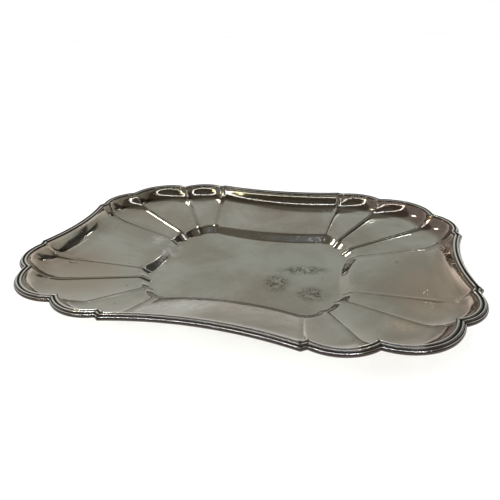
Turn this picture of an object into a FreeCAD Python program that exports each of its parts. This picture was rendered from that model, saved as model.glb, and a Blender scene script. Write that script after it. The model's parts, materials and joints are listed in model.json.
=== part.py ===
import FreeCAD, Part
import os
import Sketcher

# A footless oblong serving tray. One pressed sheet makes the flat well, the fluted sides and a narrow rim
# flange, and a reeded border is laid round the flange in mitred lengths. Millimetres, Z up.
doc = FreeCAD.newDocument("serving_tray")
V = FreeCAD.Vector

SIZES = {
    "half_length": 175.0,          # tray centre to the border crest at a short side's ear
    "half_width": 132.5,           # tray centre to the border crest at a long side's ear
    "well_half_length": 83.6,
    "well_half_width": 64.4,
    "depth": 30.3,                 # well floor up to the border crest
    "sheet": 1.0,
    "step_reach": 9.5, "step_rise": 5.8,        # the low wall round the well
    "panel_reach": 19.6, "panel_drop": 15.8,    # where the gentle panel ends, in from and below the crest
    "bend_reach": 10.6, "bend_drop": 12.4,
    "flare_reach": 5.6, "flare_drop": 8.8,
    "lip_reach": 2.3, "lip_drop": 3.7,
    "inner_bead": 1.35, "outer_bead": 0.9,      # radii of the two beads on the border
    "bead_pitch": 2.7, "bead_lift": 0.3,        # second bead: outward from, and above, the first
    "shelf_drop": 0.8,             # foot of the second bead's outer side, below the crest
    "border_reach": 5.2, "border_drop": 3.3, "face_radius": 1.6,
    "flange_reach": 3.7, "edge_gap": 0.1,
}
# Corners of one quarter of the plan, from the long side round to the short side, each as its distance in
# from the short side's ear and in from the long side's ear: on the border crest, then on the well floor.
CORNERS = {
    "ear_long": (109.7, 0.0, 27.8, 0.0),
    "lobe_start": (105.4, 3.0, 26.1, 0.8),
    "cusp_long": (65.4, 12.1, 14.9, 9.1),
    "cusp_short": (17.5, 44.5, 6.5, 22.9),
    "lobe_finish": (2.4, 81.6, 0.5, 35.1),
    "ear_short": (0.0, 87.0, 0.0, 36.7),
}
# Bow of each length as a share of its chord, at the crest and at the well. Minus bows in towards the well.
BOWS = {
    "side_long": (-0.0605, -0.067),
    "lobe_long": (0.183, 0.115),
    "lobe_corner": (0.242, 0.11),
    "lobe_short": (0.205, 0.118),
    "side_short": (-0.0714, -0.072),
}

sizes = doc.addObject("Spreadsheet::Sheet", "Sizes")
cells = dict(SIZES)
for corner, insets in CORNERS.items():
    for key, inset in zip(("crest_inset_x", "crest_inset_y", "well_inset_x", "well_inset_y"), insets):
        cells[f"{corner}_{key}"] = inset
for length, bows in BOWS.items():
    cells[f"{length}_bow"], cells[f"{length}_well_bow"] = bows
for row, (alias, value) in enumerate(cells.items(), 1):
    sizes.set(f"A{row}", alias)
    sizes.set(f"B{row}", str(value))
    sizes.setAlias(f"B{row}", alias)
doc.recompute()

# Derived plan: where each corner stands at the crest and on the floor, and the run of the crease between.
plan = doc.addObject("App::VarSet", "Plan")


def derive(name, expression):
    plan.addProperty("App::PropertyFloat", name)
    plan.setExpression(name, expression)


for corner in CORNERS:
    for level, prefix in (("crest", ""), ("well", "well_")):
        derive(f"{corner}_{level}_x", f"Sizes.{prefix}half_length - Sizes.{corner}_{level}_inset_x")
        derive(f"{corner}_{level}_y", f"Sizes.{prefix}half_width - Sizes.{corner}_{level}_inset_y")
doc.recompute()
for corner in CORNERS:
    run_x, run_y = (f"({corner}_crest_{axis} - {corner}_well_{axis})" for axis in "xy")
    derive(f"{corner}_run", f"hypot({run_x}; {run_y})")
    derive(f"{corner}_toward_x", f"{run_x} / {corner}_run")
    derive(f"{corner}_toward_y", f"{run_y} / {corner}_run")
derive("crest", "Sizes.sheet + Sizes.depth")
derive("flange_top", "crest - Sizes.inner_bead")
doc.recompute()


# ---- border lengths: chord, radius, and the mitre at every corner, for mouldings and for the flange edge
LENGTHS = {
    "side_long": ("mirrored_long", "ear_long"),
    "step_long": ("ear_long", "lobe_start"),
    "lobe_long": ("lobe_start", "cusp_long"),
    "lobe_corner": ("cusp_long", "cusp_short"),
    "lobe_short": ("cusp_short", "lobe_finish"),
    "step_short": ("lobe_finish", "ear_short"),
    "side_short": ("ear_short", "mirrored_short"),
}
for axis, sign_long, sign_short in (("x", "-", ""), ("y", "", "-")):
    derive(f"mirrored_long_crest_{axis}", f"{sign_long}ear_long_crest_{axis}")
    derive(f"mirrored_short_crest_{axis}", f"{sign_short}ear_short_crest_{axis}")
doc.recompute()
for length, (first, last) in LENGTHS.items():
    dx, dy = (f"({last}_crest_{axis} - {first}_crest_{axis})" for axis in "xy")
    derive(f"{length}_chord", f"hypot({dx}; {dy})")
    derive(f"{length}_lay", f"atan2({dy}; {dx}) / 1 deg")
    bow = f"Sizes.{length}_bow" if length in BOWS else "0"
    derive(f"{length}_turn", f"2 * atan(2 * {bow}) / 1 deg")
    for axis, turn in (("x", "cos"), ("y", "sin")):
        middle = f"({first}_crest_{axis} + {last}_crest_{axis}) / 2"
        derive(f"{length}_middle_{axis}",
               f"{middle} + {bow} * {length}_chord * {turn}(({length}_lay + 90) * 1 deg)")
    if length in BOWS:
        derive(f"{length}_radius", f"{length}_chord * (1 + 4 * {bow}^2) / (8 * {bow})")
order = list(LENGTHS)


def along_mitre(length, corner, reach):
    # how far along the corner's mitre a line stands that is offset outward by reach from this length
    lean = f"cos({corner}_kink * 1 deg)"
    if length not in BOWS:
        return f"{reach} / {lean}"
    radius = f"{length}_radius"
    root = f"sqrt(({radius} * {lean})^2 + 2 * {radius} * {reach} + {reach}^2)"
    return f"{root} * abs({radius}) / {radius} - {radius} * {lean}"


for before, after in zip(order, order[1:]):
    corner = LENGTHS[after][0]
    leaving, entering = f"({before}_lay - {before}_turn)", f"({after}_lay + {after}_turn)"
    derive(f"{corner}_mitre", f"({leaving} + {entering}) / 2 + 90")
    derive(f"{corner}_kink", f"({entering} - {leaving}) / 2")
    nearer, further = (along_mitre(length, corner, "Sizes.flange_reach") for length in (before, after))
    derive(f"{corner}_spread", f"min({nearer}; {further})")
derive("mirrored_long_mitre", "180 - ear_long_mitre")
derive("mirrored_short_mitre", "-ear_short_mitre")
doc.recompute()


def plane(body, role):
    return [item for item in body.Origin.OriginFeatures if item.Role == role][0]


def sketch_on(body, name, role="XY_Plane"):
    sketch = body.newObject("Sketcher::SketchObject", name)
    sketch.AttachmentSupport = [(plane(body, role), "")]
    sketch.MapMode = "FlatFace"
    return sketch


def number(expression):
    value = plan.evalExpression(expression)
    return float(getattr(value, "Value", value))


def bind(sketch, constraint, expression):
    index = sketch.addConstraint(constraint)
    sketch.setExpression(f"Constraints[{index}]", expression)


def bind_point(sketch, edge, end, x, y):
    bind(sketch, Sketcher.Constraint("DistanceX", -1, 1, edge, end, number(x)), x)
    bind(sketch, Sketcher.Constraint("DistanceY", -1, 1, edge, end, number(y)), y)


def bow_between(start, end, radius):
    # minor arc bowed out from the tray for a plus radius, and in for a minus one
    chord = end - start
    outward = V(-chord.y, chord.x, 0).normalize()
    sagitta = abs(radius) - (radius ** 2 - chord.Length ** 2 / 4) ** 0.5
    return Part.Arc(start, (start + end) / 2 + outward * (sagitta if radius > 0 else -sagitta), end)


def draw_loop(sketch, corners, radii):
    # closed loop through corners given as (x, y) expressions; radii[i] bends the edge that leaves corner i
    spots = [V(number(x), number(y), 0) for x, y in corners]
    starts = []
    for index, spot in enumerate(spots):
        following = spots[(index + 1) % len(spots)]
        radius = radii.get(index)
        straight = Part.LineSegment(spot, following)
        drawn = sketch.addGeometry(straight if radius is None else bow_between(spot, following, number(radius)))
        starts.append(1 if sketch.getPoint(drawn, 1).distanceToPoint(spot) < 1e-6 else 2)
        if radius is not None:
            bind(sketch, Sketcher.Constraint("Radius", drawn, abs(number(radius))), f"abs({radius})")
    first = sketch.GeometryCount - len(spots)
    for index, (x, y) in enumerate(corners):
        before = index - 1 if index else len(spots) - 1
        sketch.addConstraint(Sketcher.Constraint("Coincident", first + before, 3 - starts[before],
                                                 first + index, starts[index]))
        bind_point(sketch, first + index, starts[index], x, y)


# ---- tray_body: quarter lofts through level outlines, hollowed, then mirrored twice
LEVELS = {  # where the reach is counted from, reach, height, and the wall's slope there in degrees
    "floor": ("well", "0", "Sizes.sheet", None),
    "shoulder": ("well", "Sizes.step_reach", "Sizes.sheet + Sizes.step_rise", 22),
    "panel": ("crest", "Sizes.panel_reach", "Plan.crest - Sizes.panel_drop", 17),
    "bend": ("crest", "Sizes.bend_reach", "Plan.crest - Sizes.bend_drop", 28),
    "flare": ("crest", "Sizes.flare_reach", "Plan.crest - Sizes.flare_drop", 46),
    "lip": ("crest", "Sizes.lip_reach", "Plan.crest - Sizes.lip_drop", 62),
    "rim": ("crest", "Sizes.inner_bead", "Plan.flange_top", 68),
}


def outline(body, name, level, under):
    origin, reach, height, slope = LEVELS[level]
    sign = "+" if origin == "well" else "-"
    share = f"({reach}) / Plan.ear_long_run" if origin == "well" else f"1 - ({reach}) / Plan.ear_long_run"
    if under and slope:
        outward = f"Sizes.sheet * sin({slope} deg)"
        reach = f"{reach} {sign} {outward}"
        height = f"{height} - Sizes.sheet * cos({slope} deg)" if level != "rim" else height
    elif under:
        reach, height = f"{reach} + 0.28 * Sizes.sheet", "0"
    spots = {corner: tuple(f"Plan.{corner}_{origin}_{axis} {sign} Plan.{corner}_toward_{axis} * ({reach})"
                           for axis in "xy") for corner in CORNERS}
    bows = {length: f"(Sizes.{length}_well_bow + (Sizes.{length}_bow - Sizes.{length}_well_bow) * ({share}))"
            for length in BOWS}
    radii = {}
    for index, length in ((2, "lobe_long"), (3, "lobe_corner"), (4, "lobe_short")):
        (ax, ay), (bx, by) = (spots[corner] for corner in LENGTHS[length])
        chord = f"hypot(({bx}) - ({ax}); ({by}) - ({ay}))"
        radii[index + 1] = f"{chord} * (1 + 4 * {bows[length]}^2) / (8 * {bows[length]})"
    (ear_x, ear_y), (end_x, end_y) = spots["ear_long"], spots["ear_short"]
    for index, half, length in ((1, ear_x, "side_long"), (7, end_y, "side_short")):
        radii[index] = f"2 * ({half}) * (1 + 4 * {bows[length]}^2) / (8 * {bows[length]})"
    sketch = sketch_on(body, name)
    sketch.setExpression("AttachmentOffset.Base.z", height)
    corners = [("0", "0"), ("0", f"{ear_y} + 2 * ({ear_x}) * {bows['side_long']}"), *spots.values(),
               (f"{end_x} + 2 * ({end_y}) * {bows['side_short']}", "0")]
    draw_loop(sketch, corners, radii)
    return sketch


def loft(body, kind, name, sections):
    feature = body.newObject(f"PartDesign::{kind}Loft", name)
    feature.Profile, feature.Sections, feature.Ruled = sections[0], sections[1:], len(sections) == 2


tray = doc.addObject("PartDesign::Body", "TrayBody")
tray.Label = "tray_body"
below = {level: outline(tray, f"Under{level.title()}", level, True) for level in LEVELS}
above = {level: outline(tray, f"Top{level.title()}", level, False) for level in LEVELS}
doc.recompute()
WALLS = {"Step": ("floor", "shoulder"), "Panel": ("shoulder", "panel"),
         "Flare": ("panel", "bend", "flare", "lip", "rim")}
for wall, levels in WALLS.items():
    loft(tray, "Additive", f"{wall}Underside", [below[level] for level in levels])
    doc.recompute()

edge = sketch_on(tray, "FlangeEdge")
edge.setExpression("AttachmentOffset.Base.z", "Plan.flange_top")
rim_corners = [tuple(f"Plan.{corner}_crest_{axis} + Plan.{corner}_spread * {turn}(Plan.{corner}_mitre * 1 deg)"
                     for axis, turn in (("x", "cos"), ("y", "sin"))) for corner in CORNERS]
draw_loop(edge, [("0", "0"), ("0", "Plan.side_long_middle_y + Sizes.flange_reach"), *rim_corners,
                 ("Plan.side_short_middle_x + Sizes.flange_reach", "0")],
          {index: f"Plan.{length}_radius + Sizes.flange_reach"
           for index, length in ((1, "side_long"), (3, "lobe_long"), (4, "lobe_corner"), (5, "lobe_short"),
                                 (7, "side_short"))})
doc.recompute()
flange = tray.newObject("PartDesign::Pad", "Flange")
flange.Profile, flange.Reversed = edge, True
flange.setExpression("Length", "Sizes.sheet")
doc.recompute()
for wall, levels in WALLS.items():
    loft(tray, "Subtractive", f"{wall}Hollow", [above[level] for level in levels])
    doc.recompute()
for name, role in (("OtherEnd", "YZ_Plane"), ("OtherSide", "XZ_Plane")):
    mirrored = tray.newObject("PartDesign::Mirrored", name)
    mirrored.TransformMode = "Whole shape"
    mirrored.MirrorPlane = (plane(tray, role), [""])
    tray.Tip = mirrored
    doc.recompute()


# ---- border mouldings: the reeded section turned about each length's own axis, or run straight, then mitred
def draw_section(sketch):
    # x runs out from the crest line, y is height; a length bowed in is turned about an axis outside the tray
    flat, toe = "Plan.flange_top", "Plan.crest - Sizes.border_drop"
    groove = f"{flat} + 0.2 * Sizes.inner_bead"
    left, right = (f"Sizes.bead_pitch {sign} 0.95 * Sizes.outer_bead" for sign in "-+")
    foot = "Plan.crest + Sizes.bead_lift - 0.69 * Sizes.outer_bead"
    brow, shelf = "Sizes.border_reach - Sizes.face_radius", "Plan.crest - Sizes.shelf_drop"
    sheet_edge = "Sizes.flange_reach + Sizes.edge_gap"
    corners = [
        ("-0.98 * Sizes.inner_bead", flat), ("-0.98 * Sizes.inner_bead", groove),
        ("0.98 * Sizes.inner_bead", groove), (left, groove), (left, foot), (right, foot), (brow, shelf),
        ("Sizes.border_reach", f"{shelf} - Sizes.face_radius"), ("Sizes.border_reach", toe),
        (sheet_edge, toe), (sheet_edge, flat),
    ]
    draw_loop(sketch, corners, {1: "Sizes.inner_bead", 4: "Sizes.outer_bead", 6: "Sizes.face_radius"})


def mitre_cut(body, length):
    # two blocks, one past each end, whose near faces stand on the mitre planes
    cut = sketch_on(body, f"{body.Name}Ends")
    for corner, side in zip(LENGTHS[length], ("-", "+")):
        near = [tuple(f"Plan.{corner}_crest_{axis} {sign} 12 * {turn}(Plan.{corner}_mitre * 1 deg)"
                      for axis, turn in (("x", "cos"), ("y", "sin"))) for sign in "-+"]
        far = [tuple(f"{value} {side} 60 * {turn}((Plan.{corner}_mitre - 90) * 1 deg)"
                     for value, turn in zip(spot, ("cos", "sin"))) for spot in reversed(near)]
        draw_loop(cut, near + far, {})
    doc.recompute()
    pocket = body.newObject("PartDesign::Pocket", f"{body.Name}Mitres")
    pocket.Profile, pocket.Type, pocket.SideType = cut, "ThroughAll", "Symmetric"
    doc.recompute()


def moulding(length, label):
    body = doc.addObject("PartDesign::Body", label.title().replace("_", ""))
    body.Label = label
    section = sketch_on(body, f"{body.Name}Section", "XZ_Plane")
    section.AttachmentOffset = FreeCAD.Placement(V(0, 0, 0), FreeCAD.Rotation(V(0, 1, 0), 45))
    section.setExpression("AttachmentOffset.Base.x", f"Plan.{length}_middle_x")
    section.setExpression("AttachmentOffset.Base.z", f"-Plan.{length}_middle_y")
    section.setExpression("AttachmentOffset.Rotation.Angle", f"Plan.{length}_lay + 90")
    draw_section(section)
    if length in BOWS:
        centre = f"-Plan.{length}_radius"
        axis = section.addGeometry(Part.LineSegment(V(number(centre), 0, 0), V(number(centre), 10, 0)), True)
        section.addConstraint(Sketcher.Constraint("Vertical", axis))
        bind_point(section, axis, 1, centre, "0")
        section.addConstraint(Sketcher.Constraint("DistanceY", axis, 1, axis, 2, 10))
        doc.recompute()
        run = body.newObject("PartDesign::Revolution", f"{body.Name}Turned")
        run.Profile, run.ReferenceAxis, run.Midplane = section, (section, ["Axis0"]), True
        run.setExpression("Angle", f"2 * abs(Plan.{length}_turn) + 1000 / abs(Plan.{length}_radius)")
    else:
        doc.recompute()
        run = body.newObject("PartDesign::Pad", f"{body.Name}Run")
        run.Profile, run.Midplane = section, True
        run.setExpression("Length", f"Plan.{length}_chord + 20")
    doc.recompute()
    mitre_cut(body, length)
    return body


def mirror(source, label, normal):
    copy = doc.addObject("Part::Mirroring", label.title().replace("_", ""))
    copy.Label, copy.Source, copy.Normal = label, source, normal
    return copy


LEFT, NEAR = V(1, 0, 0), V(0, 1, 0)
pieces = [tray]
far_side = moulding("side_long", "moulding_side_back")
right_end = moulding("side_short", "moulding_side_right")
pieces += [far_side, mirror(far_side, "moulding_side_front", NEAR),
           right_end, mirror(right_end, "moulding_side_left", LEFT)]
for length in ("step_long", "lobe_long", "lobe_corner", "lobe_short", "step_short"):
    back_right = moulding(length, f"{length}_back_right")
    back_left = mirror(back_right, f"{length}_back_left", LEFT)
    pieces += [back_right, back_left, mirror(back_right, f"{length}_front_right", NEAR),
               mirror(back_left, f"{length}_front_left", NEAR)]
doc.recompute()

for item in doc.Objects:
    if {"Invalid", "Error"} & set(item.State):
        raise RuntimeError(f"{item.Label} did not recompute")
os.makedirs("parts", exist_ok=True)
for piece in pieces:
    if piece.Shape.isNull() or not piece.Shape.isValid():
        raise RuntimeError(f"{piece.Label} has no valid shape")
    piece.Shape.exportStep(f"parts/{piece.Label}.step")
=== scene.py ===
import json
import math
import bpy
import bmesh
from mathutils import Matrix, Vector

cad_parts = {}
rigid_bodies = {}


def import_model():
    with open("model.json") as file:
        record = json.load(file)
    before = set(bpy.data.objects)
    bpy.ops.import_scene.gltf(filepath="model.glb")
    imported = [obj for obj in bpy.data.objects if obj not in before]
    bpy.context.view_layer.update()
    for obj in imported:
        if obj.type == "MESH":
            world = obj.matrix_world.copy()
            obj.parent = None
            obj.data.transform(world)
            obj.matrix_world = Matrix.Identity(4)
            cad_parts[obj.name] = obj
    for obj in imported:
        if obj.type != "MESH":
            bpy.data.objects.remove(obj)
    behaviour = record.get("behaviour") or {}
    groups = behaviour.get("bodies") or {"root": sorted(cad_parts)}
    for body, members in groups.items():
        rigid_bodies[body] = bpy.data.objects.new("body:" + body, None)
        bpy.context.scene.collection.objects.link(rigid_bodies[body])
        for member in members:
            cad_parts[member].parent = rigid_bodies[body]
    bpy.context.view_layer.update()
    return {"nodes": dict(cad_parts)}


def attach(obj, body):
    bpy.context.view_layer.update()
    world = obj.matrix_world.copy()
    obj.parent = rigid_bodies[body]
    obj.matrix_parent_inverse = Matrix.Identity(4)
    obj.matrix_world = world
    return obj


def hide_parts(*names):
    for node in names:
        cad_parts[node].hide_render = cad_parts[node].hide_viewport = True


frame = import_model()
mm = 0.001
print("frame loaded:", len(frame["nodes"]), "parts")

# The plan of one quarter, in millimetres, from the long side round to the short side.
# Each corner stands in from the ears by (x, y) on the border crest, then by (x, y) on the well floor.
trayPlan = {
    "halfLength": 175.0, "halfWidth": 132.5, "wellHalfLength": 83.6, "wellHalfWidth": 64.4,
    "corners": {
        "earLong": (109.7, 0.0, 27.8, 0.0),
        "lobeStart": (105.4, 3.0, 26.1, 0.8),
        "cuspLong": (65.4, 12.1, 14.9, 9.1),
        "cuspShort": (17.5, 44.5, 6.5, 22.9),
        "lobeFinish": (2.4, 81.6, 0.5, 35.1),
        "earShort": (0.0, 87.0, 0.0, 36.7),
    },
    "bows": {  # bow of each length as a share of its chord, at the crest and at the well
        "sideLong": (-0.0605, -0.067), "lobeLong": (0.183, 0.115), "lobeCorner": (0.242, 0.11),
        "lobeShort": (0.205, 0.118), "sideShort": (-0.0714, -0.072),
        "stepLong": (0.0, 0.0), "stepShort": (0.0, 0.0),
    },
    "depth": 30.3, "sheet": 1.0, "innerBead": 1.35,
}
crestHeight = trayPlan["sheet"] + trayPlan["depth"]
flangeTop = crestHeight - trayPlan["innerBead"]
lengthNames = ["stepLong", "lobeLong", "lobeCorner", "lobeShort", "stepShort"]


def quarterCorners():
    crest, well = [], []
    for crestX, crestY, wellX, wellY in trayPlan["corners"].values():
        crest.append(Vector((trayPlan["halfLength"] - crestX, trayPlan["halfWidth"] - crestY)))
        well.append(Vector((trayPlan["wellHalfLength"] - wellX, trayPlan["wellHalfWidth"] - wellY)))
    return crest, well


def allRound(quarter):
    # four quarters clockwise from the back right one, every second quarter run backwards
    turned = [Vector((p.x, -p.y)) for p in reversed(quarter)]
    return quarter + turned + [-p for p in quarter] + [Vector((-p.x, p.y)) for p in reversed(quarter)]


# name of the length that leaves each of the 24 corners
lengthsRound = (lengthNames + ["sideShort"] + lengthNames[::-1] + ["sideLong"]) * 2
crestCorners, wellCorners = (allRound(points) for points in quarterCorners())
creaseRuns = [(crest - well).length for crest, well in zip(crestCorners, wellCorners)]
creaseWays = [(crest - well).normalized() for crest, well in zip(crestCorners, wellCorners)]
cornerCount = len(crestCorners)


def outwardOf(start, end):
    way = (end - start).normalized()
    return Vector((-way.y, way.x))


def arcPoint(start, end, bow, share):
    # a point on the arc from start to end; share runs 0 to 1, bow is the rise over the chord
    chord = (end - start).length
    if abs(bow) < 1e-5:
        return start.lerp(end, share)
    radius = chord * (1 + 4 * bow * bow) / (8 * bow)
    centre = (start + end) / 2 + outwardOf(start, end) * (bow * chord - radius)
    half = 2 * math.atan(2 * bow)
    return centre + Matrix.Rotation(-2 * half * share, 2) @ (start - centre)


def mitreAt(index):
    # unit way of the mitre at a crest corner, and half the kink between the lengths that meet there
    before = lengthsRound[index - 1]
    after = lengthsRound[index]
    previous, here = crestCorners[index - 1], crestCorners[index]
    following = crestCorners[(index + 1) % cornerCount]
    leaving = math.atan2(*(here - previous).yx) - 2 * math.atan(2 * trayPlan["bows"][before][0])
    entering = math.atan2(*(following - here).yx) + 2 * math.atan(2 * trayPlan["bows"][after][0])
    kink = (entering - leaving + math.pi) % (2 * math.pi) - math.pi
    middle = leaving + kink / 2 + math.pi / 2
    return Vector((math.cos(middle), math.sin(middle))), kink / 2


# ---- tray body: rings through the whole profile, top side out to the flange edge and back underneath
bodyBuild = {
    "edgeSteps": {"sideLong": 52, "sideShort": 40, "lobeLong": 30, "lobeCorner": 34, "lobeShort": 30,
                  "stepLong": 3, "stepShort": 3},
    "cornerSteps": 6, "creaseRound": 1.3, "flangeReach": 3.55,
    "mostRound": 0.32,    # most of a length that the rounding at its corner may take
    "crowding": 0.65,     # how far the points gather toward the creases
    "rowSpacing": 4.5, "roundSteps": 6, "rimSteps": 3,
    "ridgeHeight": 0.78, "ridgeWidth": 1.8,
    # ridge strength along a crease, from the well edge (0) to the crest (1)
    "ridgeAlong": [(0.0, 0.0), (0.04, 0.25), (0.14, 1.0), (0.74, 1.0), (0.88, 0.55), (0.97, 0.0)],
    "stepRidge": 0.5, "stepRidgeWidth": 0.75,  # ridges beside a step, where a lobe's own are 1
    "waist": 0.8,         # how far the two creases of a step close up half way
    # extra bow of the lobes at the well edge, gone by footEnd of the crease run
    "footScallop": 0.085, "footEnd": 0.12,
    # profile: (millimetres out from the well corner, share of the crease run, height, rounding)
    "profile": [
        (-6.0, 0.0, trayPlan["sheet"], 0.0),
        (0.0, 0.0, trayPlan["sheet"], 2.4),
        (9.5, 0.0, trayPlan["sheet"] + 5.8, 3.2),
        (-19.6, 1.0, crestHeight - 15.8, 4.4),
        (-10.6, 1.0, crestHeight - 12.4, 3.0),
        (-5.6, 1.0, crestHeight - 8.8, 3.0),
        (-2.3, 1.0, crestHeight - 3.7, 1.2),
        (-1.35, 1.0, flangeTop, 0.0),
    ],
    "meanRun": 85.0,      # crease run that slopes and spans are worked out for
}


def profileRows():
    # the profile's corners rounded off, as rows of (reach, share, height) from the well out to the rim
    points = bodyBuild["profile"]
    meanRun = bodyBuild["meanRun"]
    roundSteps, rimSteps = bodyBuild["roundSteps"], bodyBuild["rimSteps"]

    def span(a, b):
        return math.hypot(b[0] + b[1] * meanRun - a[0] - a[1] * meanRun, b[2] - a[2])

    def mix(a, b, share):
        return tuple(a[i] + (b[i] - a[i]) * share for i in range(3))

    rows = [points[0][:3]]
    for before, here, after in zip(points, points[1:], points[2:]):
        start = mix(here, before, here[3] / span(here, before))
        end = mix(here, after, here[3] / span(here, after))
        last = rows[-1]
        gap = span(last, start)
        steps = max(1, round(gap / bodyBuild["rowSpacing"]))
        if gap > 0.05:
            rows += [mix(last, start, step / steps) for step in range(1, steps + 1)]
        for step in range(1, roundSteps + 1):
            t = step / roundSteps
            rows.append(mix(mix(start, here, t), mix(here, end, t), t))
    last = rows[-1]
    return rows + [mix(last, points[-1], step / rimSteps) for step in range(1, rimSteps + 1)]


def undersideRows(rows):
    # the same rows moved one sheet thickness square to the profile
    shifted = []
    meanRun, sheet = bodyBuild["meanRun"], trayPlan["sheet"]
    for index, (reach, share, height) in enumerate(rows):
        a, b = rows[max(index - 1, 0)], rows[min(index + 1, len(rows) - 1)]
        slope = math.atan2(b[2] - a[2], b[0] - a[0] + (b[1] - a[1]) * meanRun)
        shifted.append((reach + sheet * math.sin(slope), share, height - sheet * math.cos(slope)))
    return shifted


def alongTable(table, place):
    # reads a value from rows of (place, value), with soft steps between the rows
    for (before, low), (after, high) in zip(table, table[1:]):
        if place <= after:
            share = min(max((place - before) / (after - before), 0.0), 1.0)
            return low + (high - low) * share * share * (3 - 2 * share)
    return table[-1][1]


def ringThrough(corners, bows, height, ridge=0.0):
    # closed ring with every corner rounded, the same number of points whatever the level,
    # and how strong the ridge is at each point
    points, strengths = [], []
    crowding = bodyBuild["crowding"]

    def isStep(index):
        return lengthsRound[index % cornerCount].startswith("step")

    def add(point, distance, corner):
        width, strength = bodyBuild["ridgeWidth"], ridge
        if isStep(corner) or isStep(corner - 1):
            width *= bodyBuild["stepRidgeWidth"]
            strength *= bodyBuild["stepRidge"]
        strength *= math.exp(-(distance / width) ** 2)
        points.append(Vector((point.x, point.y, height + strength * bodyBuild["ridgeHeight"])) * mm)
        strengths.append(strength)

    chords = [(corners[(index + 1) % cornerCount] - corners[index]).length for index in range(cornerCount)]
    rounding = [min(bodyBuild["creaseRound"], bodyBuild["mostRound"] * chords[index - 1],
                    bodyBuild["mostRound"] * chords[index]) for index in range(cornerCount)]
    for index, length in enumerate(chords):
        start, end = corners[index], corners[(index + 1) % cornerCount]
        steps = bodyBuild["edgeSteps"][lengthsRound[index]]
        first, last = rounding[index] / length, 1 - rounding[(index + 1) % cornerCount] / length
        for step in range(steps + 1):
            share = step / steps
            share += crowding * (0.5 - 0.5 * math.cos(math.pi * share) - share)
            point = arcPoint(start, end, bows[index], first + (last - first) * share)
            fromStart, fromEnd = (point - start).length, (point - end).length
            nearer = index if fromStart < fromEnd else index + 1
            add(point, 0.0 if isStep(index) else min(fromStart, fromEnd), nearer)
        following = corners[(index + 2) % cornerCount]
        entry = point
        exitPoint = arcPoint(end, following, bows[(index + 1) % cornerCount],
                             rounding[(index + 1) % cornerCount] / (following - end).length)
        for step in range(1, bodyBuild["cornerSteps"]):
            t = step / bodyBuild["cornerSteps"]
            point = entry.lerp(end, t).lerp(end.lerp(exitPoint, t), t)
            onStep = isStep(index) if t < 0.5 else isStep(index + 1)
            add(point, 0.0 if onStep else (point - end).length, index + 1)
    return points, strengths


def wallRing(reach, share, height):
    # one row of the profile taken round the tray, from the well's plan to the crest's
    travelled = [reach + share * run for run in creaseRuns]
    corners = [well + way * out for well, way, out in zip(wellCorners, creaseWays, travelled)]
    blend = min(max((reach + share * creaseRuns[0]) / creaseRuns[0], 0.0), 1.0)
    closing = bodyBuild["waist"] / 2 * math.sin(math.pi * blend) ** 1.5
    for index, name in enumerate(lengthsRound):
        if name.startswith("step"):
            after = (index + 1) % cornerCount
            corners[index], corners[after] = (corners[index].lerp(corners[after], closing),
                                              corners[after].lerp(corners[index], closing))
    foot = bodyBuild["footScallop"] * max(0.0, 1 - blend / bodyBuild["footEnd"])
    bows = []
    for name in lengthsRound:
        crestBow, wellBow = trayPlan["bows"][name]
        bows.append(wellBow + (crestBow - wellBow) * blend + (foot if name.startswith("lobe") else 0.0))
    points, strengths = ringThrough(corners, bows, height, alongTable(bodyBuild["ridgeAlong"], blend))
    return points, strengths, blend


def flangeRing(reach, height):
    # the crest line offset outward, met on the mitres
    corners, bows = [], []
    for index in range(cornerCount):
        way, kink = mitreAt(index)
        corners.append(crestCorners[index] + way * reach / math.cos(kink))
    for index, name in enumerate(lengthsRound):
        bow = trayPlan["bows"][name][0]
        if not bow:
            bows.append(0.0)
            continue
        chord = (crestCorners[(index + 1) % cornerCount] - crestCorners[index]).length
        radius = chord * (1 + 4 * bow * bow) / (8 * bow) + reach
        offsetChord = (corners[(index + 1) % cornerCount] - corners[index]).length
        rise = abs(radius) - math.sqrt(radius * radius - offsetChord * offsetChord / 4)
        bows.append(math.copysign(rise / offsetChord, bow))
    return *ringThrough(corners, bows, height), 1.0


def meshPiece(name, rings):
    # skins a run of closed rings and shuts both ends with a fan of the last ring
    builder = bmesh.new()
    rimward, creased = builder.verts.layers.float.new("rimward"), builder.verts.layers.float.new("creased")
    loops = []
    for points, strengths, place in rings:
        loops.append([builder.verts.new(point) for point in points])
        for vertex, strength in zip(loops[-1], strengths):
            vertex[rimward], vertex[creased] = place, strength
    count = len(loops[0])
    for inner, outer in zip(loops, loops[1:]):
        for index in range(count):
            following = (index + 1) % count
            builder.faces.new((inner[index], inner[following], outer[following], outer[index]))
    for loop in (loops[0], loops[-1]):
        middle = builder.verts.new(sum((v.co for v in loop), Vector()) / count)
        for index in range(count):
            builder.faces.new((middle, loop[index], loop[(index + 1) % count]))
    bmesh.ops.recalc_face_normals(builder, faces=builder.faces)
    mesh = bpy.data.meshes.new(name)
    builder.to_mesh(mesh)
    builder.free()
    piece = bpy.data.objects.new(name, mesh)
    bpy.context.scene.collection.objects.link(piece)
    for polygon in mesh.polygons:
        polygon.use_smooth = True
    return piece


def makeBody():
    topRows = profileRows()
    lowRows = undersideRows(topRows)
    reach, sheet = bodyBuild["flangeReach"], trayPlan["sheet"]
    rings = [wallRing(*row) for row in topRows]
    rings += [flangeRing(share * reach, flangeTop) for share in (0.3, 0.7, 0.96)]
    rings += [flangeRing(reach, flangeTop - drop * sheet) for drop in (0.12, 0.5, 0.88)]
    rings += [flangeRing(share * reach, flangeTop - sheet) for share in (0.96, 0.7, 0.3)]
    rings += [wallRing(*row) for row in reversed(lowRows[:-2:2])]
    return meshPiece("trayBodyPlated", rings)


trayBody = makeBody()
print("tray body:", len(trayBody.data.polygons), "faces")

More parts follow.
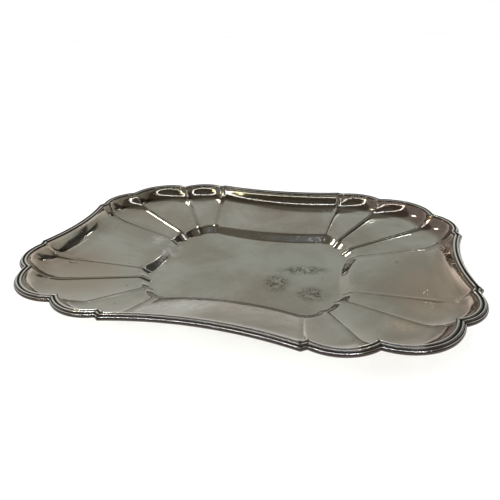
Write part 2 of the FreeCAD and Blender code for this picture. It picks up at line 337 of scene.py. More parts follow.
# ---- reeded border: one section swept along each length by Geometry Nodes, then cut on the mitres
borderBuild = {
    "innerBead": trayPlan["innerBead"], "outerBead": 0.9, "beadPitch": 2.7, "beadLift": 0.295,
    "shelfDrop": 0.8, "reach": 5.195, "drop": 3.3, "faceRadius": 1.6, "lipInside": 3.8,
    "overrun": 9.0,       # swept this far past each corner before the mitre cut
    "mitreGap": 0.03,     # half the width of the joint line
    "segmentLength": 1.6, "weld": 0.0001, "sharpAngle": 38.0,
    "earGrime": 2.0,      # grime at the joints beside a plain side reaches this much further
}


def borderSection():
    # the section as (outward, height below the crest), clockwise from the inner foot
    size = borderBuild
    flat = -size["innerBead"]
    groove = flat + 0.2 * size["innerBead"]
    shelf = -size["shelfDrop"]
    brow = size["reach"] - size["faceRadius"]
    points = [(-0.98 * size["innerBead"], flat)]

    def turn(x, y, radius, start, end, steps):
        for step in range(steps + 1):
            angle = math.radians(start + (end - start) * step / steps)
            points.append((x + radius * math.cos(angle), y + radius * math.sin(angle)))

    turn(0, flat, size["innerBead"], 168.5, 11.5, 22)
    points.append((size["beadPitch"] - 0.62 * size["outerBead"] - 0.33, groove))
    turn(size["beadPitch"], size["beadLift"] - size["outerBead"], size["outerBead"], 162, 18, 16)
    turn(brow, shelf - size["faceRadius"], size["faceRadius"], 88, 0, 14)
    turn(size["reach"] - 0.35, -size["drop"] + 0.35, 0.35, 0, -90, 4)
    points.append((size["lipInside"], -size["drop"]))
    points.append((size["lipInside"], flat))
    return points


def borderTree():
    # section loop in, swept moulding out
    tree = bpy.data.node_groups.new("borderSweep", "GeometryNodeTree")
    socket = tree.interface.new_socket
    socket("Section", in_out="INPUT", socket_type="NodeSocketGeometry")
    for name in ("Start", "Middle", "End"):
        socket(name, in_out="INPUT", socket_type="NodeSocketVector")
    socket("Straight", in_out="INPUT", socket_type="NodeSocketBool")
    socket("Segments", in_out="INPUT", socket_type="NodeSocketInt")
    socket("Finish", in_out="INPUT", socket_type="NodeSocketMaterial")
    socket("Moulding", in_out="OUTPUT", socket_type="NodeSocketGeometry")
    new, link = tree.nodes.new, tree.links.new
    entry, leave = new("NodeGroupInput"), new("NodeGroupOutput")
    section = new("GeometryNodeMeshToCurve")
    arc = new("GeometryNodeCurveArc")
    arc.mode = "POINTS"
    line = new("GeometryNodeCurvePrimitiveLine")
    resample = new("GeometryNodeResampleCurve")
    pick = new("GeometryNodeSwitch")
    pick.input_type = "GEOMETRY"
    upright = new("GeometryNodeSetCurveNormal")
    upright.mode = "Z_UP"
    sweep = new("GeometryNodeCurveToMesh")
    sweep.inputs["Fill Caps"].default_value = True
    finish = new("GeometryNodeSetMaterial")
    smooth = new("GeometryNodeSetShadeSmooth")
    realize = new("GeometryNodeRealizeInstances")
    link(entry.outputs["Section"], section.inputs["Mesh"])
    for name in ("Start", "Middle", "End"):
        link(entry.outputs[name], arc.inputs[name])
    link(entry.outputs["Segments"], arc.inputs["Resolution"])
    link(entry.outputs["Start"], line.inputs["Start"])
    link(entry.outputs["End"], line.inputs["End"])
    link(line.outputs["Curve"], resample.inputs["Curve"])
    link(entry.outputs["Segments"], resample.inputs["Count"])
    link(entry.outputs["Straight"], pick.inputs["Switch"])
    link(arc.outputs["Curve"], pick.inputs["False"])
    link(resample.outputs["Curve"], pick.inputs["True"])
    link(pick.outputs["Output"], upright.inputs["Curve"])
    link(upright.outputs["Curve"], sweep.inputs["Curve"])
    link(section.outputs["Curve"], sweep.inputs["Profile Curve"])
    link(sweep.outputs["Mesh"], smooth.inputs["Geometry"])
    link(smooth.outputs["Geometry"], realize.inputs["Geometry"])
    link(realize.outputs["Geometry"], finish.inputs["Geometry"])
    link(entry.outputs["Finish"], finish.inputs["Material"])
    link(finish.outputs["Geometry"], leave.inputs["Moulding"])
    return tree


def sectionObject():
    # a swept section lies with its own x and y turned half round, so it is drawn turned back
    points = [Vector((-x * mm, -y * mm, 0)) for x, y in borderSection()]
    mesh = bpy.data.meshes.new("borderSection")
    mesh.from_pydata(points, [(index, (index + 1) % len(points)) for index in range(len(points))], [])
    across = mesh.attributes.new("across", "FLOAT", "POINT")
    for index, (x, _) in enumerate(borderSection()):
        across.data[index].value = x
    return mesh


def cutOnMitre(builder, index, towards):
    # keeps what lies on the towards side of the mitre plane at this corner, and closes the cut
    way, _ = mitreAt(index)
    normal = Vector((-way.y, way.x, 0))
    corner = Vector((crestCorners[index].x, crestCorners[index].y, 0)) * mm
    if normal.dot(towards - corner) < 0:
        normal = -normal
    everything = builder.verts[:] + builder.edges[:] + builder.faces[:]
    edge = corner + normal * borderBuild["mitreGap"] * mm
    bmesh.ops.bisect_plane(builder, geom=everything, dist=borderBuild["weld"] * mm, plane_co=edge,
                           plane_no=-normal, clear_outer=True)
    bmesh.ops.holes_fill(builder, edges=[edge for edge in builder.edges if edge.is_boundary])


def markJoints(builder, index):
    # millimetres from each point to the nearer soldered joint, for the grime that gathers there
    layer = builder.verts.layers.float.new("fromJoint")
    ends = []
    for corner in (index, (index + 1) % cornerCount):
        besideSide = "side" in lengthsRound[corner] or "side" in lengthsRound[corner - 1]
        grime = borderBuild["earGrime"] if besideSide else 1.0
        ends.append((crestCorners[corner] * mm, mitreAt(corner)[0], grime))
    for vertex in builder.verts:
        flat = Vector((vertex.co.x, vertex.co.y))
        vertex[layer] = min(abs((flat - point).cross(way)) / grime for point, way, grime in ends) / mm


def makeLength(name, index, tree, section, material):
    # one border length: swept past both corners, made a plain mesh, then cut on its two mitres
    start, end = crestCorners[index], crestCorners[(index + 1) % cornerCount]
    bow = trayPlan["bows"][lengthsRound[index]][0]
    length = (end - start).length
    spare = borderBuild["overrun"] / length
    raised = [Vector((p.x, p.y, crestHeight)) * mm
              for p in (arcPoint(start, end, bow, share) for share in (-spare, 0.5, 1 + spare))]
    holder = bpy.data.objects.new(name, section.copy())
    bpy.context.scene.collection.objects.link(holder)
    modifier = holder.modifiers.new("sweep", "NODES")
    modifier.node_group = tree
    segments = max(6, round(length * (1 + 2 * spare) / borderBuild["segmentLength"]))
    values = {"Start": raised[0], "Middle": raised[1], "End": raised[2], "Straight": not bow,
              "Segments": segments, "Finish": material}
    for item in tree.interface.items_tree:
        if item.in_out == "INPUT" and item.name in values:
            modifier[item.identifier] = values[item.name]
    evaluated = holder.evaluated_get(bpy.context.evaluated_depsgraph_get())
    swept = bpy.data.meshes.new_from_object(evaluated)
    holder.modifiers.clear()
    holder.data = swept
    builder = bmesh.new()
    builder.from_mesh(swept)
    bmesh.ops.remove_doubles(builder, verts=builder.verts, dist=borderBuild["weld"] * mm)
    middle = Vector((raised[1].x, raised[1].y, 0))
    cutOnMitre(builder, index, middle)
    cutOnMitre(builder, (index + 1) % cornerCount, middle)
    bmesh.ops.recalc_face_normals(builder, faces=builder.faces)
    markJoints(builder, index)
    builder.to_mesh(swept)
    builder.free()
    for polygon in swept.polygons:
        polygon.use_smooth = True
    swept.set_sharp_from_angle(angle=math.radians(borderBuild["sharpAngle"]))
    return holder


def borderNames():
    # node names in the same order as lengthsRound
    ends = [("back_right", 1), ("front_right", -1), ("front_left", 1), ("back_left", -1)]
    sides = ["moulding_side_right", "moulding_side_front", "moulding_side_left", "moulding_side_back"]
    lengths = ["step_long", "lobe_long", "lobe_corner", "lobe_short", "step_short"]
    names = []
    for (end, way), side in zip(ends, sides):
        names += [f"{length}_{end}" for length in lengths[::way]] + [side]
    return names


# ---- finishes: silver plate gone warm and grey with age, with some painted shade and painted highlights in the colour
plateFinish = {
    "clean": (0.58, 0.58, 0.525), "aged": (0.47, 0.445, 0.39), "brown": (0.33, 0.25, 0.17),
    # near black grime that also paints shade along the sheet's creases and in the border's grooves
    "grimeAndShade": (0.030, 0.024, 0.019), "stain": (0.11, 0.10, 0.07), "scuffed": (0.97, 0.97, 0.96),
    # outer: dark brown tarnish with painted shade off the bead tops; bright: painted highlight on the bead
    # tops
    "outer": (0.070, 0.056, 0.048), "bright": (0.97, 0.96, 0.92), "plum": (0.27, 0.20, 0.175),
    # flare and plum darken the flares with tarnish and a painted dark reflection
    "flare": (0.155, 0.132, 0.095), "amber": (0.74, 0.61, 0.49), "rosy": (0.50, 0.41, 0.335),
    # middle and half width across the border, in millimetres: grooves darkened with grime and painted shade,
    # bead tops rubbed and given a painted highlight
    "grooves": [(1.62, 0.36), (3.72, 0.22)], "rubbed": [(0.0, 0.68), (2.7, 0.50), (4.35, 0.24)],
    "beadHighlightShare": 0.8, "grooveGrimeAndShade": 0.96, "jointSoot": 0.85,
    "roughness": (0.05, 0.14), "borderRoughness": (0.09, 0.20),
    "hairlineMatt": 0.10, "scuffMatt": 0.25, "stainMatt": 0.30,
    # sizes in metres of the clouds and hairlines, then how fine each grain is (cells to the metre)
    "cloudSize": 0.085, "scratchLength": 0.02, "scratchWidth": 0.0004, "scratchTurns": (0.35, -0.9),
    "mottleGrain": 260.0, "pinGrain": 130.0, "pinAreas": 45.0, "nickGrain": 95.0,
    "scuffGrain": 70.0, "stainEdge": 150.0, "stainGrain": 700.0,
    # surface bumps: strength, depth in metres, grain
    "ripple": (0.15, 0.0006, 38.0), "dents": (0.25, 0.0003, 160.0), "hairlineDepth": (0.08, 0.0001),
}


class Wiring:
    # short hands for wiring one material or the sky
    def __init__(self, tree):
        self.tree = tree

    def node(self, kind, **settings):
        made = self.tree.nodes.new(kind)
        for name, value in settings.items():
            setattr(made, name, value)
        return made

    def link(self, source, target):
        self.tree.links.new(source, target)

    def feed(self, node, **values):
        # sets or wires sockets by name; underscores stand for spaces
        for name, value in values.items():
            target = node.inputs[name.replace("_", " ")]
            if isinstance(value, bpy.types.NodeSocket):
                self.link(value, target)
            else:
                target.default_value = value
        return node

    def sums(self, operation, first, second=0.0, third=0.0, clamp=False):
        node = self.node("ShaderNodeMath", operation=operation, use_clamp=clamp)
        for place, value in enumerate((first, second, third)):
            if isinstance(value, bpy.types.NodeSocket):
                self.link(value, node.inputs[place])
            else:
                node.inputs[place].default_value = value
        return node.outputs[0]

    def apart(self, first, second):
        # how far two values are from each other
        return self.sums("ABSOLUTE", self.sums("SUBTRACT", first, second))

    def gathered(self, operation, parts):
        total = parts[0]
        for part in parts[1:]:
            total = self.sums(operation, total, part)
        return total

    def noise(self, vector, scale, detail=4.0, roughness=0.55, distortion=0.0):
        node = self.feed(self.node("ShaderNodeTexNoise"), Vector=vector, Scale=scale, Detail=detail,
                         Roughness=roughness, Distortion=distortion)
        return node.outputs["Fac"]

    def spread(self, value, low, high, start=0.0, finish=1.0):
        # start up to low, finish from high on, and a soft slope between
        node = self.node("ShaderNodeMapRange", interpolation_type="SMOOTHSTEP")
        self.link(value, node.inputs["Value"])
        for name, number in (("From Min", low), ("From Max", high), ("To Min", start), ("To Max", finish)):
            node.inputs[name].default_value = number
        return node.outputs["Result"]

    def mixColour(self, share, first, second):
        node = self.node("ShaderNodeMix", data_type="RGBA")
        for place, value in ((0, share), (6, first), (7, second)):
            if isinstance(value, bpy.types.NodeSocket):
                self.link(value, node.inputs[place])
            elif place == 0:
                node.inputs[place].default_value = value
            else:
                node.inputs[place].default_value = (*value, 1.0)
        return node.outputs[2]

    def placed(self, vector, move=(0, 0, 0), turn=(0, 0, 0), stretch=(1, 1, 1)):
        node = self.node("ShaderNodeMapping")
        self.feed(node, Vector=vector, Location=move, Rotation=turn, Scale=stretch)
        return node.outputs["Vector"]


def plainMaterial(name):
    material = bpy.data.materials.new(name)
    material.use_nodes = True
    material.node_tree.nodes.clear()
    wiring = Wiring(material.node_tree)
    shader = wiring.node("ShaderNodeBsdfPrincipled")
    output = wiring.node("ShaderNodeOutputMaterial")
    wiring.link(shader.outputs["BSDF"], output.inputs["Surface"])
    return material, wiring, shader


def scratchNoise(wiring, place, turn, salt):
    # long thin hairlines lying one way; salt moves them so that two sets differ
    finish = plateFinish
    stretched = wiring.placed(wiring.placed(place, turn=(0, 0, turn)), move=(salt, salt * 2, 0),
                              stretch=(1 / finish["scratchLength"], 1 / finish["scratchWidth"], 60.0))
    lines = wiring.noise(stretched, 1.0, detail=1.0, roughness=0.4)
    return wiring.spread(lines, 0.66, 0.74)


def plateLayers(wiring, place):
    # what both finishes share: cloudy tarnish, fine mottle, and pin spots with small nicks
    finish = plateFinish
    clouds = wiring.noise(place, 1 / finish["cloudSize"], detail=5.0, roughness=0.6, distortion=0.4)
    mottle = wiring.noise(place, finish["mottleGrain"], detail=4.0, roughness=0.62)
    spots = wiring.node("ShaderNodeTexVoronoi", feature="F1")
    wiring.feed(spots, Vector=place, Scale=finish["pinGrain"], Randomness=1.0)
    pins = wiring.spread(spots.outputs["Distance"], 0.05, 0.10, 1.0, 0.0)
    chosen = wiring.spread(wiring.noise(place, finish["pinAreas"], detail=1.0), 0.56, 0.62)
    ragged = wiring.noise(place, finish["nickGrain"], detail=4.0, roughness=0.75, distortion=0.8)
    nicks = wiring.spread(ragged, 0.67, 0.73)
    return clouds, mottle, wiring.sums("MAXIMUM", wiring.sums("MULTIPLY", pins, chosen), nicks)


def tarnish(wiring, place, clouds, mottle, rimward):
    # grey plate with brown clouds, then the warmer colours that gather in places
    finish = plateFinish
    axes = wiring.node("ShaderNodeSeparateXYZ")
    wiring.link(place, axes.inputs["Vector"])
    base = wiring.mixColour(wiring.spread(clouds, 0.35, 0.7), finish["clean"], finish["aged"])
    # brown follows the clouds, and gathers a little toward the rim and the right end
    rightward = wiring.spread(axes.outputs["X"], 0.03, 0.17, 0.0, 0.08)
    rimBrown = wiring.spread(rimward, 0.80, 0.97, 0.0, 0.35)
    brownness = wiring.sums("MULTIPLY_ADD", wiring.spread(clouds, 0.38, 0.66), 0.55,
                            wiring.sums("ADD", rightward, rimBrown))
    brownness = wiring.sums("MULTIPLY", brownness, wiring.spread(mottle, 0.25, 0.75, 0.75, 1.15), clamp=True)
    base = wiring.mixColour(wiring.sums("MULTIPLY", brownness, 0.5), base, finish["brown"])
    # the flare is browned along the back and plum along the right: tarnish darkened further as a painted dark
    # reflection
    alongBack = wiring.sums("MULTIPLY", wiring.spread(rimward, 0.80, 0.88),
                            wiring.spread(axes.outputs["Y"], 0.045, 0.10))
    alongBack = wiring.sums("MULTIPLY", alongBack, wiring.spread(mottle, 0.2, 0.8, 0.7, 0.95))
    base = wiring.mixColour(alongBack, base, finish["flare"])
    alongRight = wiring.sums("MULTIPLY", wiring.spread(rimward, 0.78, 0.90),
                             wiring.spread(axes.outputs["X"], 0.05, 0.15))
    alongRight = wiring.sums("MULTIPLY", alongRight, wiring.spread(mottle, 0.2, 0.8, 0.6, 0.95))
    base = wiring.mixColour(alongRight, base, finish["plum"])
    # an amber bloom at the front right, and rosy patches at both ends
    amber = wiring.sums("MULTIPLY", patches(wiring, place, amberSpots, 0.0),
                        wiring.spread(mottle, 0.3, 0.7, 0.25, 0.9))
    base = wiring.mixColour(amber, base, finish["amber"])
    rosy = wiring.sums("MULTIPLY", patches(wiring, place, rosySpots, 0.4),
                       wiring.spread(clouds, 0.3, 0.7, 0.7, 1.0))
    return wiring.mixColour(rosy, base, finish["rosy"])


def makePlatedSheet():
    material, wiring, shader = plainMaterial("platedSheet")
    finish = plateFinish
    place = wiring.node("ShaderNodeTexCoord").outputs["Object"]
    clouds, mottle, pins = plateLayers(wiring, place)
    rimward = wiring.node("ShaderNodeAttribute", attribute_name="rimward").outputs["Fac"]
    creased = wiring.node("ShaderNodeAttribute", attribute_name="creased").outputs["Fac"]
    base = tarnish(wiring, place, clouds, mottle, rimward)
    # dark tarnish with painted shade along the creases, and grime in the pin spots
    grimeAndShadeMask = wiring.sums("MULTIPLY", creased, wiring.spread(clouds, 0.3, 0.7, 0.10, 0.42))
    base = wiring.mixColour(grimeAndShadeMask, base, finish["grimeAndShade"])
    base = wiring.mixColour(wiring.sums("MULTIPLY", pins, 0.6), base, finish["grimeAndShade"])
    # pale scuffing on the left step, and stains on the well
    rubbed = wiring.noise(place, finish["scuffGrain"], detail=3.0)
    scuffs = wiring.sums("MULTIPLY", patches(wiring, place, scuffSpots, 0.0),
                         wiring.spread(rubbed, 0.40, 0.62, 0.1, 0.85))
    base = wiring.mixColour(scuffs, base, finish["scuffed"])
    stains = wellStains(wiring, place)
    base = wiring.mixColour(stains, base, finish["stain"])
    wiring.link(base, shader.inputs["Base Color"])
    shader.inputs["Metallic"].default_value = 1.0
    # hairlines both ways, and a matt bloom on the scuffs and stains
    firstTurn, secondTurn = finish["scratchTurns"]
    hairlines = wiring.sums("MAXIMUM", scratchNoise(wiring, place, firstTurn, 3.0),
                            scratchNoise(wiring, place, secondTurn, 7.0))
    rough = wiring.spread(mottle, 0.25, 0.8, *finish["roughness"])
    rough = wiring.sums("MULTIPLY_ADD", hairlines, finish["hairlineMatt"], rough)
    rough = wiring.sums("MULTIPLY_ADD", scuffs, finish["scuffMatt"], rough)
    rough = wiring.sums("MULTIPLY_ADD", stains, finish["stainMatt"], rough, clamp=True)
    wiring.link(rough, shader.inputs["Roughness"])
    # hairline grooves over a slow stamping ripple
    strength, depth, grain = finish["ripple"]
    slow = wiring.noise(place, grain, detail=2.0, roughness=0.45)
    ripple = wiring.node("ShaderNodeBump")
    wiring.feed(ripple, Strength=strength, Distance=depth, Height=slow)
    strength, depth = finish["hairlineDepth"]
    grooves = wiring.node("ShaderNodeBump", invert=True)
    wiring.feed(grooves, Strength=strength, Distance=depth, Height=hairlines, Normal=ripple.outputs["Normal"])
    wiring.link(grooves.outputs["Normal"], shader.inputs["Normal"])
    return material


# patches on the sheet, in metres: centre x, centre y, half length, half width, turn in degrees
stainSpots = [
    (0.047, 0.006, 0.027, 0.010, 13), (0.028, -0.021, 0.013, 0.017, 12), (0.060, -0.032, 0.016, 0.013, 12),
]
amberSpots = [(0.148, -0.050, 0.016, 0.022, 0), (0.128, -0.078, 0.020, 0.014, 0)]
rosySpots = [
    (-0.138, -0.064, 0.055, 0.050, 0), (0.166, -0.020, 0.018, 0.060, 0), (0.150, -0.030, 0.030, 0.040, 0),
]
scuffSpots = [(-0.084, 0.006, 0.010, 0.030, 0), (-0.101, 0.022, 0.012, 0.012, 20)]


def patches(wiring, place, spots, inner=0.3):
    # soft ovals, 1 as far out as inner and 0 outside
    ovals = []
    for x, y, halfLength, halfWidth, degrees in spots:
        local = wiring.placed(place, move=(-x, -y, 0))
        local = wiring.placed(local, turn=(0, 0, math.radians(-degrees)))
        local = wiring.placed(local, stretch=(1 / halfLength, 1 / halfWidth, 8.0))
        distance = wiring.node("ShaderNodeVectorMath", operation="LENGTH")
        wiring.link(local, distance.inputs[0])
        ovals.append(wiring.spread(distance.outputs["Value"], inner, 1.15, 1.0, 0.0))
    return wiring.gathered("MAXIMUM", ovals)


def wellStains(wiring, place):
    # corroded specks gathered in a few patches on the well floor
    edges = wiring.noise(place, plateFinish["stainEdge"], detail=5.0, roughness=0.7)
    grains = wiring.noise(place, plateFinish["stainGrain"], detail=3.0, roughness=0.8)
    return wiring.gathered("MULTIPLY", [patches(wiring, place, stainSpots), wiring.spread(edges, 0.40, 0.50),
                                        wiring.spread(grains, 0.44, 0.54, 0.12, 1.0)])


def makePlatedBorder():
    material, wiring, shader = plainMaterial("platedBorder")
    finish = plateFinish
    place = wiring.node("ShaderNodeTexCoord").outputs["Object"]
    clouds, mottle, pins = plateLayers(wiring, place)
    base = wiring.mixColour(wiring.spread(clouds, 0.35, 0.7), finish["clean"], finish["aged"])
    # bead tops rubbed bright and given a painted highlight, dark brown tarnish with painted shade elsewhere,
    # dark grime with painted shade in the grooves, and grime at the soldered joints
    across = wiring.node("ShaderNodeAttribute", attribute_name="across").outputs["Fac"]
    crestWearAndHighlights = [wiring.spread(wiring.apart(across, middle), half * 0.5, half * 1.4, 1.0, 0.0)
            for middle, half in finish["rubbed"]]
    rubbed = wiring.gathered("MAXIMUM", crestWearAndHighlights)
    # the bead tops get a painted highlight over the rubbed wear
    base = wiring.mixColour(wiring.sums("MULTIPLY", rubbed, finish["beadHighlightShare"]), base, finish["bright"])
    # off the bead tops the border goes dark brown: tarnish with painted shade
    base = wiring.mixColour(rubbed, finish["outer"], base)
    fromJoint = wiring.node("ShaderNodeAttribute", attribute_name="fromJoint").outputs["Fac"]
    # the grooves are darkened with grime and painted shade; the soldered joints with grime
    grimeAndShadeMask = [wiring.spread(wiring.apart(across, middle), half * 0.6, half * 1.3, finish["grooveGrimeAndShade"], 0.0)
             for middle, half in finish["grooves"]]
    grimeAndShadeMask.append(wiring.spread(fromJoint, 0.1, 0.8, finish["jointSoot"], 0.0))
    dark = wiring.sums("MULTIPLY", wiring.gathered("MAXIMUM", grimeAndShadeMask),
                       wiring.spread(mottle, 0.2, 0.8, 0.85, 1.1), clamp=True)
    base = wiring.mixColour(dark, base, finish["grimeAndShade"])
    base = wiring.mixColour(wiring.sums("MULTIPLY", pins, 0.5), base, finish["grimeAndShade"])
    wiring.link(base, shader.inputs["Base Color"])
    shader.inputs["Metallic"].default_value = 1.0
    rough = wiring.spread(mottle, 0.25, 0.8, *finish["borderRoughness"])
    wiring.link(rough, shader.inputs["Roughness"])
    strength, depth, grain = finish["dents"]
    uneven = wiring.noise(place, grain, detail=3.0, roughness=0.5)
    dents = wiring.node("ShaderNodeBump")
    wiring.feed(dents, Strength=strength, Distance=depth, Height=uneven)
    wiring.link(dents.outputs["Normal"], shader.inputs["Normal"])
    return material


sheetMaterial = makePlatedSheet()
borderMaterial = makePlatedBorder()
print("finishes ready")

tree, section = borderTree(), sectionObject()
trayBody.data.materials.append(sheetMaterial)
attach(trayBody, "root")
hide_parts("tray_body")
for index, node in enumerate(borderNames()):
    moulding = makeLength(node + "_reeded", index, tree, section, borderMaterial)
    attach(moulding, "root")
    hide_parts(node)
bpy.data.meshes.remove(section)
print("border lengths:", cornerCount)

# ---- studio: pale floor, soft sky, narrow lamps for the bright edges
studio = {
    "floorHalf": 30.0, "floorColour": (0.86, 0.86, 0.85),
    "floorLight": 2.7, "backdropColour": (1.0, 1.0, 1.0), "backdropRadius": 14.0,
    # sky brightness by height: sine of the elevation, colour
    "sky": [(0.0, (1.0, 1.0, 1.0)), (0.08, (1.0, 1.0, 0.99)), (0.20, (0.56, 0.55, 0.52)),
            (0.45, (0.425, 0.437, 0.405)), (0.77, (0.43, 0.425, 0.40)), (1.0, (0.36, 0.355, 0.33))],
    # a dim ceiling: lean toward the camera and half angle in degrees, edge, colour at its rim and middle
    "ceiling": (14.0, 45.5, 1.5, (0.15, 0.135, 0.108), (0.195, 0.20, 0.212)),
    # a thin bright hoop over the tray: middle along the arc and across, half size each way, line width
    "hoop": (0.675, -0.13, 0.138, 0.60, 0.026), "hoopColour": (0.90, 0.98, 1.10), "hoopStrength": 26.0,
    # boards hung in the room: middle and half size, across and forward, how dark (below zero is brighter)
    "boards": [
        (0.50, 0.645, 0.12, 0.08, 0.88), (0.52, 0.42, 0.28, 0.15, 0.86), (0.205, 0.56, 0.016, 0.09, -1.5),
    ],
    "patchiness": 0.18, "patchSize": 2.3,
}
# distance, drop and shift in metres, angles in degrees, lens in millimetres
cameraPose = {
    "target": (0.0, 0.0, 0.0313), "drop": -0.010913, "shift": 0.000015,
    "distance": 0.38459, "around": 15.406, "down": 26.563, "roll": -1.3134, "lens": 31.41,
}


def makeFloor():
    material, wiring, shader = plainMaterial("paleFloor")
    place = wiring.node("ShaderNodeTexCoord").outputs["Object"]
    shade = wiring.spread(wiring.noise(place, 3.0, detail=3.0), 0.3, 0.7)
    colour = studio["floorColour"]
    darker = tuple(channel * 0.985 for channel in colour)
    wiring.link(wiring.mixColour(shade, colour, darker), shader.inputs["Base Color"])
    shader.inputs["Roughness"].default_value = 0.9
    shader.inputs["Specular IOR Level"].default_value = 0.1
    half = studio["floorHalf"]
    mesh = bpy.data.meshes.new("floor")
    corners = [(-half, -half, 0), (half, -half, 0), (half, half, 0), (-half, half, 0)]
    mesh.from_pydata(corners, [], [(0, 1, 2, 3)])
    mesh.materials.append(material)
    floor = bpy.data.objects.new("floor", mesh)
    bpy.context.scene.collection.objects.link(floor)


def makeBackdrop():
    # a pale shell that only the camera sees, so the metal still reflects the sky
    material = bpy.data.materials.new("paleBackdrop")
    material.use_nodes = True
    material.node_tree.nodes.clear()
    wiring = Wiring(material.node_tree)
    glow = wiring.node("ShaderNodeEmission")
    glow.inputs["Color"].default_value = (*studio["backdropColour"], 1.0)
    wiring.link(glow.outputs["Emission"], wiring.node("ShaderNodeOutputMaterial").inputs["Surface"])
    mesh = bpy.data.meshes.new("backdrop")
    builder = bmesh.new()
    bmesh.ops.create_uvsphere(builder, u_segments=48, v_segments=24, radius=studio["backdropRadius"])
    bmesh.ops.reverse_faces(builder, faces=builder.faces)
    builder.to_mesh(mesh)
    builder.free()
    mesh.materials.append(material)
    backdrop = bpy.data.objects.new("backdrop", mesh)
    bpy.context.scene.collection.objects.link(backdrop)
    backdrop.visible_glossy = backdrop.visible_diffuse = backdrop.visible_shadow = False
    backdrop.visible_transmission = backdrop.visible_volume_scatter = False


def skyByHeight(wiring, height):
    ramp = wiring.node("ShaderNodeValToRGB")
    wiring.link(height, ramp.inputs["Fac"])
    elements = ramp.color_ramp.elements
    while len(elements) < len(studio["sky"]):
        elements.new(0.5)
    for element, (position, colour) in zip(elements, studio["sky"]):
        element.position, element.color = position, (*colour, 1.0)
    return ramp.outputs["Color"]


def withCeiling(wiring, way, sky):
    lean, halfAngle, edge, rimColour, middleColour = studio["ceiling"]
    axis = wiring.node("ShaderNodeVectorMath", operation="DOT_PRODUCT")
    wiring.link(way, axis.inputs[0])
    axis.inputs[1].default_value = (0.0, -math.sin(math.radians(lean)), math.cos(math.radians(lean)))
    toAxis = axis.outputs["Value"]
    inside = wiring.spread(toAxis, math.cos(math.radians(halfAngle + edge)),
                           math.cos(math.radians(halfAngle - edge)))
    ceiling = wiring.mixColour(wiring.spread(toAxis, 0.90, 0.98), rimColour, middleColour)
    return wiring.mixColour(inside, sky, ceiling)


def hoopGlow(wiring, axes):
    # the arc runs from 0 low behind the tray over the top to 1 low in front
    arc = wiring.sums("DIVIDE", wiring.sums("ARCTAN2", axes.outputs["Z"], axes.outputs["Y"]), math.pi)
    middle, aside, halfAlong, halfAcross, line = studio["hoop"]
    along = wiring.sums("DIVIDE", wiring.apart(arc, middle), halfAlong)
    across = wiring.sums("DIVIDE", wiring.apart(axes.outputs["X"], aside), halfAcross)
    squares = wiring.sums("ADD", wiring.sums("POWER", along, 2.0), wiring.sums("POWER", across, 2.0))
    reach = wiring.sums("SQRT", squares)
    hoop = wiring.spread(wiring.apart(reach, 1.0), line * 0.4, line, 1.0, 0.0)
    bright = tuple(channel * studio["hoopStrength"] for channel in studio["hoopColour"])
    return wiring.mixColour(hoop, (0.0, 0.0, 0.0), bright)


def roomShade(wiring, way, axes):
    # the room is a little uneven, and the boards hang in it
    shades = []
    for boardX, boardY, halfX, halfY, darkness in studio["boards"]:
        offX = wiring.sums("DIVIDE", wiring.apart(axes.outputs["X"], boardX), halfX)
        offY = wiring.sums("DIVIDE", wiring.apart(axes.outputs["Y"], boardY), halfY)
        shades.append(wiring.spread(wiring.sums("MAXIMUM", offX, offY), 0.9, 1.1, 1 - darkness, 1.0))
    patchy = wiring.noise(way, studio["patchSize"], detail=2.0, roughness=0.5)
    shades.append(wiring.spread(patchy, 0.3, 0.7, 1 - studio["patchiness"], 1 + studio["patchiness"]))
    return wiring.gathered("MULTIPLY", shades)


def makeSky():
    world = bpy.data.worlds.new("studioSky")
    bpy.context.scene.world = world
    world.use_nodes = True
    world.node_tree.nodes.clear()
    wiring = Wiring(world.node_tree)
    way = wiring.placed(wiring.node("ShaderNodeTexCoord").outputs["Generated"],
                        turn=(0, 0, math.radians(-cameraPose["around"])))
    axes = wiring.node("ShaderNodeSeparateXYZ")
    wiring.link(way, axes.inputs["Vector"])
    sky = withCeiling(wiring, way, skyByHeight(wiring, axes.outputs["Z"]))
    shaded = wiring.node("ShaderNodeVectorMath", operation="SCALE")
    wiring.link(sky, shaded.inputs[0])
    wiring.link(roomShade(wiring, way, axes), shaded.inputs["Scale"])
    together = wiring.node("ShaderNodeMix", data_type="RGBA", blend_type="ADD")
    together.inputs[0].default_value = 1.0
    wiring.link(shaded.outputs["Vector"], together.inputs[6])
    wiring.link(hoopGlow(wiring, axes), together.inputs[7])
    background = wiring.node("ShaderNodeBackground")
    wiring.link(together.outputs[2], background.inputs["Color"])
    wiring.link(background.outputs["Background"], wiring.node("ShaderNodeOutputWorld").inputs["Surface"])


def aimAt(thing, target):
    thing.rotation_euler = (Vector(target) - thing.location).to_track_quat("-Z", "Y").to_euler()


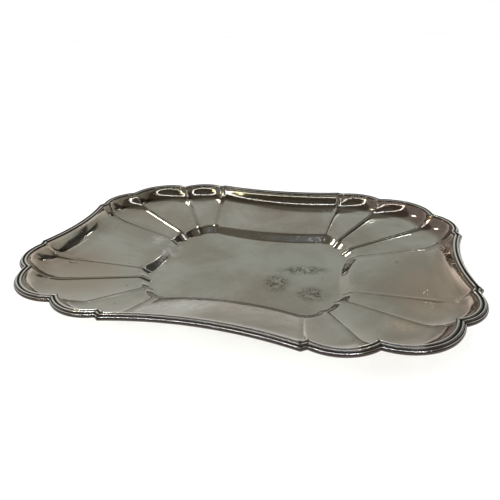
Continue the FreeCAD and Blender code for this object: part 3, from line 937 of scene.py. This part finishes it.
# name, aim, bearing and elevation from behind the tray in degrees, distance, width, height, power, colour
lamps = [
    ("yellowLamp", (0, 0, 0.02), 115.6, 39.0, 1.2, 0.012, 0.13, 0.6, (1.0, 0.90, 0.38)),
    ("backRightLamp", (0, 0, 0.02), -25.0, 42.0, 1.4, 0.014, 0.12, 0.12, (1.0, 0.99, 0.95)),
    ("backLeftLamp", (0, 0, 0.02), 39.0, 46.0, 1.4, 0.04, 0.24, 1.5, (1.0, 0.98, 0.90)),
]


def makeLamps():
    for name, aim, bearing, elevation, distance, width, height, power, colour in lamps:
        light = bpy.data.lights.new(name, "AREA")
        light.shape, light.size, light.size_y = "RECTANGLE", width, height
        light.energy, light.color = power, colour
        lamp = bpy.data.objects.new(name, light)
        turn = math.radians(90 + cameraPose["around"] + bearing)
        rise = math.radians(elevation)
        way = Vector((math.cos(turn) * math.cos(rise), math.sin(turn) * math.cos(rise), math.sin(rise)))
        lamp.location = Vector(aim) + way * distance
        aimAt(lamp, aim)
        lamp.visible_camera = False
        bpy.context.scene.collection.objects.link(lamp)
    sun = bpy.data.lights.new("floorLight", "SUN")
    sun.energy, sun.angle, sun.use_shadow = studio["floorLight"], math.radians(60), False
    lamp = bpy.data.objects.new("floorLight", sun)
    lamp.rotation_euler = (math.radians(12), math.radians(-14), 0)
    lamp.visible_glossy = False     # lights the floor without a spot in the metal
    bpy.context.scene.collection.objects.link(lamp)


def makeCamera():
    pose = cameraPose
    turn = (Matrix.Rotation(math.radians(pose["around"]), 4, "Z")
            @ Matrix.Rotation(math.radians(90 - pose["down"]), 4, "X")
            @ Matrix.Rotation(math.radians(pose["roll"]), 4, "Z"))
    data = bpy.data.cameras.new("trayCamera")
    data.lens, data.sensor_width, data.clip_start = pose["lens"], 36.0, 0.01
    camera = bpy.data.objects.new("trayCamera", data)
    offset = turn @ Vector((pose["shift"], pose["drop"], pose["distance"]))
    camera.matrix_world = Matrix.Translation(Vector(pose["target"]) + offset) @ turn
    bpy.context.scene.collection.objects.link(camera)
    bpy.context.scene.camera = camera


makeFloor()
makeBackdrop()
makeSky()
makeLamps()
makeCamera()
bpy.context.scene.view_settings.view_transform = "Standard"
print("studio ready")

bpy.context.view_layer.update()
